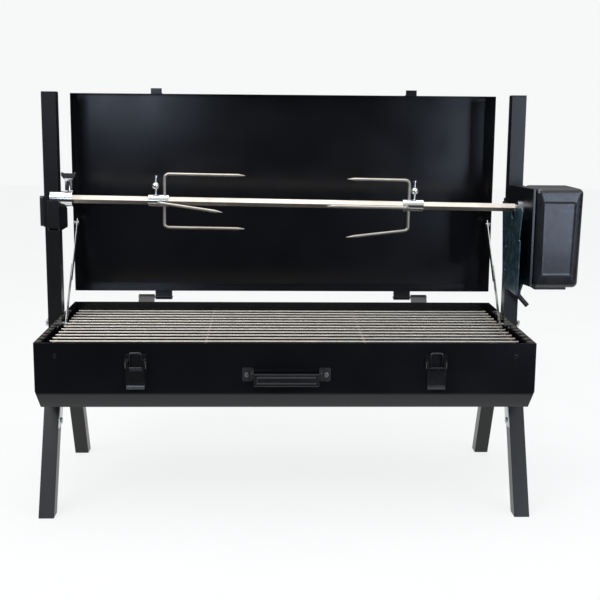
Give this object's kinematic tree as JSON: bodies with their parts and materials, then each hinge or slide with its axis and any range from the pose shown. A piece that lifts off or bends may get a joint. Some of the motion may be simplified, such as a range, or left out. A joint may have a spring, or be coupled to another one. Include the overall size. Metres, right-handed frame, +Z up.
{
  "type": "rotisserie oven",
  "caption": "Portable charcoal spit roaster: suitcase firebox on splayed folding legs, upright hinged lid, square spit with forks, posts and side motor.",
  "frame": {"origin": "centre of the footprint's bounding box, on the ground under the feet", "axes": "+X along the spit towards the motor, +Y from the handle side to the lid, +Z up"},
  "size_m": [1.118, 0.5236, 0.8275],
  "materials": {
    "black_sheet": "semi-gloss black powder coat",
    "black_tube": "satin black powder coat",
    "black_lacquer": "gloss black lacquer on pressed steel",
    "zinc": "zinc-plated steel",
    "galvanised": "galvanised steel with a blue-green passivation",
    "stainless": "drawn stainless steel",
    "chrome": "bright chrome plate",
    "black_plastic": "gloss black moulded plastic",
    "dark_plastic": "satin black moulded plastic",
    "steel": "plain turned steel"
  },
  "bodies": {
    "firebox": {"firebox_tray": "black_sheet", "grill_ledges": "black_sheet", "handle_brackets": "dark_plastic", "handle_screws": "zinc", "hinge_pins": "zinc", "hinge_tray_tabs": "black_sheet", "latch_bases": "black_lacquer", "leg_straps": "zinc", "post_bolts": "zinc", "post_caps": "dark_plastic", "post_left": "black_tube", "post_right": "black_tube", "stay_foot_studs": "zinc", "wall_fasteners": "black_lacquer"},
    "lid": {"lid_shell": "black_sheet", "lid_keepers": "black_sheet", "hinge_lid_tabs": "black_sheet", "stay_head_studs": "zinc"},
    "motor_carriage": {"motor_case": "black_plastic", "motor_cover": "black_plastic", "motor_plate": "galvanised", "motor_sleeve": "black_tube", "plate_screws": "galvanised", "motor_can": "steel", "cable_boot": "dark_plastic"},
    "cradle": {"cradle_saddle": "black_tube"},
    "spit": {"spit_bar": "stainless", "bearing_collar": "chrome"},
    "drive_gear": {"output_gear": "steel"},
    "rotor": {"motor_pinion": "steel"},
    "collar_thumbscrew": {"collar_screw": "chrome"},
    "handle": {"handle_grip": "black_plastic"},
    "grill": {"cooking_grill": "stainless"},
    "coal_tray": {"charcoal_tray": "black_sheet"},
    "stay_lower_left": {"stay_lower_left": "zinc"},
    "stay_upper_left": {"stay_upper_left": "zinc"},
    "latch_lever_left": {"latch_lever_left": "black_lacquer"},
    "latch_bail_left": {"latch_bail_left": "zinc"},
    "leg_front_left": {"leg_front_left": "black_tube", "leg_leaf_front_left": "zinc"},
    "leg_rear_left": {"leg_rear_left": "black_tube", "leg_leaf_rear_left": "zinc"},
    "wing_bolt_left": {"wing_bolt_left": "zinc"},
    "clamp_knob_left": {"clamp_knob_left": "dark_plastic"},
    "fork_left": {"fork_hub_left": "chrome", "fork_prongs_left": "stainless"},
    "fork_screw_left": {"fork_screw_left": "chrome"},
    "stay_lower_right": {"stay_lower_right": "zinc"},
    "stay_upper_right": {"stay_upper_right": "zinc"},
    "latch_lever_right": {"latch_lever_right": "black_lacquer"},
    "latch_bail_right": {"latch_bail_right": "zinc"},
    "leg_front_right": {"leg_front_right": "black_tube", "leg_leaf_front_right": "zinc"},
    "leg_rear_right": {"leg_rear_right": "black_tube", "leg_leaf_rear_right": "zinc"},
    "wing_bolt_right": {"wing_bolt_right": "zinc"},
    "clamp_knob_right": {"clamp_knob_right": "dark_plastic"},
    "fork_right": {"fork_hub_right": "chrome", "fork_prongs_right": "stainless"},
    "fork_screw_right": {"fork_screw_right": "chrome"}
  },
  "joints": [
    {"name": "lid_hinge", "type": "hinge", "parent": "firebox", "child": "lid", "pos_m": [-0.042, 0.21875, 0.357], "axis": [1, 0, 0], "range_deg": [0, 25]},
    {"name": "stay_foot_left", "type": "hinge", "parent": "firebox", "child": "stay_lower_left", "pos_m": [-0.5095, 0.05165, 0.326], "axis": [1, 0, 0], "range_deg": [0, 12.5]},
    {"name": "stay_head_left", "type": "hinge", "parent": "lid", "child": "stay_upper_left", "pos_m": [-0.5077, 0.21675, 0.527], "axis": [1, 0, 0], "range_deg": [-12.5, 0]},
    {"name": "latch_pull_left", "type": "hinge", "parent": "firebox", "child": "latch_lever_left", "pos_m": [-0.326, -0.24775, 0.3125], "axis": [-1, 0, 0], "range_deg": [0, 95]},
    {"name": "latch_hook_left", "type": "hinge", "parent": "latch_lever_left", "child": "latch_bail_left", "pos_m": [-0.326, -0.24825, 0.3015], "axis": [1, 0, 0], "range_deg": [0, 95]},
    {"name": "leg_fold_front_left", "type": "hinge", "parent": "firebox", "child": "leg_front_left", "pos_m": [-0.4862, -0.12821, 0.2137], "axis": [0, -1, 0], "range_deg": [0, 90]},
    {"name": "leg_fold_rear_left", "type": "hinge", "parent": "firebox", "child": "leg_rear_left", "pos_m": [-0.4862, 0.08971, 0.2137], "axis": [0, -1, 0], "range_deg": [0, 90]},
    {"name": "wing_turn_left", "type": "hinge", "parent": "firebox", "child": "wing_bolt_left", "pos_m": [-0.542, 0.06775, 0.326], "axis": [-1, 0, 0], "continuous": true},
    {"name": "clamp_turn_left", "type": "hinge", "parent": "cradle", "child": "clamp_knob_left", "pos_m": [-0.549, 0.06775, 0.567], "axis": [-1, 0, 0], "continuous": true},
    {"name": "fork_slide_left", "type": "slide", "parent": "spit", "child": "fork_left", "axis": [0.9999, 0, -0.014], "range_m": [-0.1, 0.07]},
    {"name": "fork_screw_turn_left", "type": "hinge", "parent": "fork_left", "child": "fork_screw_left", "pos_m": [-0.30669, -0.01925, 0.6172], "axis": [0.014, 0, 0.9999], "continuous": true},
    {"name": "stay_foot_right", "type": "hinge", "parent": "firebox", "child": "stay_lower_right", "pos_m": [0.4255, 0.05165, 0.326], "axis": [1, 0, 0], "range_deg": [0, 12.5]},
    {"name": "stay_head_right", "type": "hinge", "parent": "lid", "child": "stay_upper_right", "pos_m": [0.4237, 0.21675, 0.527], "axis": [1, 0, 0], "range_deg": [-12.5, 0]},
    {"name": "latch_pull_right", "type": "hinge", "parent": "firebox", "child": "latch_lever_right", "pos_m": [0.242, -0.24775, 0.3125], "axis": [-1, 0, 0], "range_deg": [0, 95]},
    {"name": "latch_hook_right", "type": "hinge", "parent": "latch_lever_right", "child": "latch_bail_right", "pos_m": [0.242, -0.24825, 0.3015], "axis": [1, 0, 0], "range_deg": [0, 95]},
    {"name": "leg_fold_front_right", "type": "hinge", "parent": "firebox", "child": "leg_front_right", "pos_m": [0.4022, -0.12821, 0.2137], "axis": [0, 1, 0], "range_deg": [0, 90]},
    {"name": "leg_fold_rear_right", "type": "hinge", "parent": "firebox", "child": "leg_rear_right", "pos_m": [0.4022, 0.08971, 0.2137], "axis": [0, 1, 0], "range_deg": [0, 90]},
    {"name": "wing_turn_right", "type": "hinge", "parent": "firebox", "child": "wing_bolt_right", "pos_m": [0.458, 0.06775, 0.326], "axis": [1, 0, 0], "continuous": true},
    {"name": "clamp_turn_right", "type": "hinge", "parent": "motor_carriage", "child": "clamp_knob_right", "pos_m": [0.449, 0.08575, 0.567], "axis": [0, 1, 0], "continuous": true},
    {"name": "fork_slide_right", "type": "slide", "parent": "spit", "child": "fork_right", "axis": [0.9999, 0, -0.014], "range_m": [-0.07, 0.13]},
    {"name": "fork_screw_turn_right", "type": "hinge", "parent": "fork_right", "child": "fork_screw_right", "pos_m": [0.22325, -0.01925, 0.6098], "axis": [0.014, 0, 0.9999], "continuous": true},
    {"name": "handle_swing", "type": "hinge", "parent": "firebox", "child": "handle", "pos_m": [-0.042, -0.25225, 0.288], "axis": [-1, 0, 0], "range_deg": [0, 95]},
    {"name": "motor_height", "type": "slide", "parent": "firebox", "child": "motor_carriage", "axis": [0, 0, 1], "range_m": [-0.06, 0]},
    {"name": "cradle_height", "type": "slide", "parent": "firebox", "child": "cradle", "axis": [0, 0, 1], "range_m": [-0.06, 0]},
    {"name": "spit_turn", "type": "hinge", "parent": "motor_carriage", "child": "spit", "pos_m": [-0.042, -0.01925, 0.5935], "axis": [0.9999, 0, -0.014], "continuous": true},
    {"name": "gear_turn", "type": "hinge", "parent": "motor_carriage", "child": "drive_gear", "pos_m": [0.46795, -0.01925, 0.58638], "axis": [0.9999, 0, -0.014], "continuous": true},
    {"name": "rotor_turn", "type": "hinge", "parent": "motor_carriage", "child": "rotor", "pos_m": [0.46753, -0.01925, 0.55638], "axis": [0.9999, 0, -0.014], "continuous": true},
    {"name": "collar_screw_turn", "type": "hinge", "parent": "spit", "child": "collar_thumbscrew", "pos_m": [-0.48268, -0.01925, 0.61965], "axis": [0.014, 0, 0.9999], "continuous": true},
    {"name": "grill_lift", "type": "slide", "parent": "firebox", "child": "grill", "axis": [0, 0, 1], "range_m": [0, 0.05]},
    {"name": "coal_tray_lift", "type": "slide", "parent": "firebox", "child": "coal_tray", "axis": [0, 0, 1], "range_m": [0, 0.05]}
  ],
  "couplings": [
    {"joint": "stay_foot_left", "follows": "lid_hinge", "ratio": 0.5},
    {"joint": "stay_head_left", "follows": "lid_hinge", "ratio": -0.5},
    {"joint": "latch_hook_left", "follows": "latch_pull_left", "ratio": 1},
    {"joint": "stay_foot_right", "follows": "lid_hinge", "ratio": 0.5},
    {"joint": "stay_head_right", "follows": "lid_hinge", "ratio": -0.5},
    {"joint": "latch_hook_right", "follows": "latch_pull_right", "ratio": 1},
    {"joint": "cradle_height", "follows": "motor_height", "ratio": 1},
    {"joint": "gear_turn", "follows": "spit_turn", "ratio": 1},
    {"joint": "rotor_turn", "follows": "spit_turn", "ratio": -4}
  ]
}
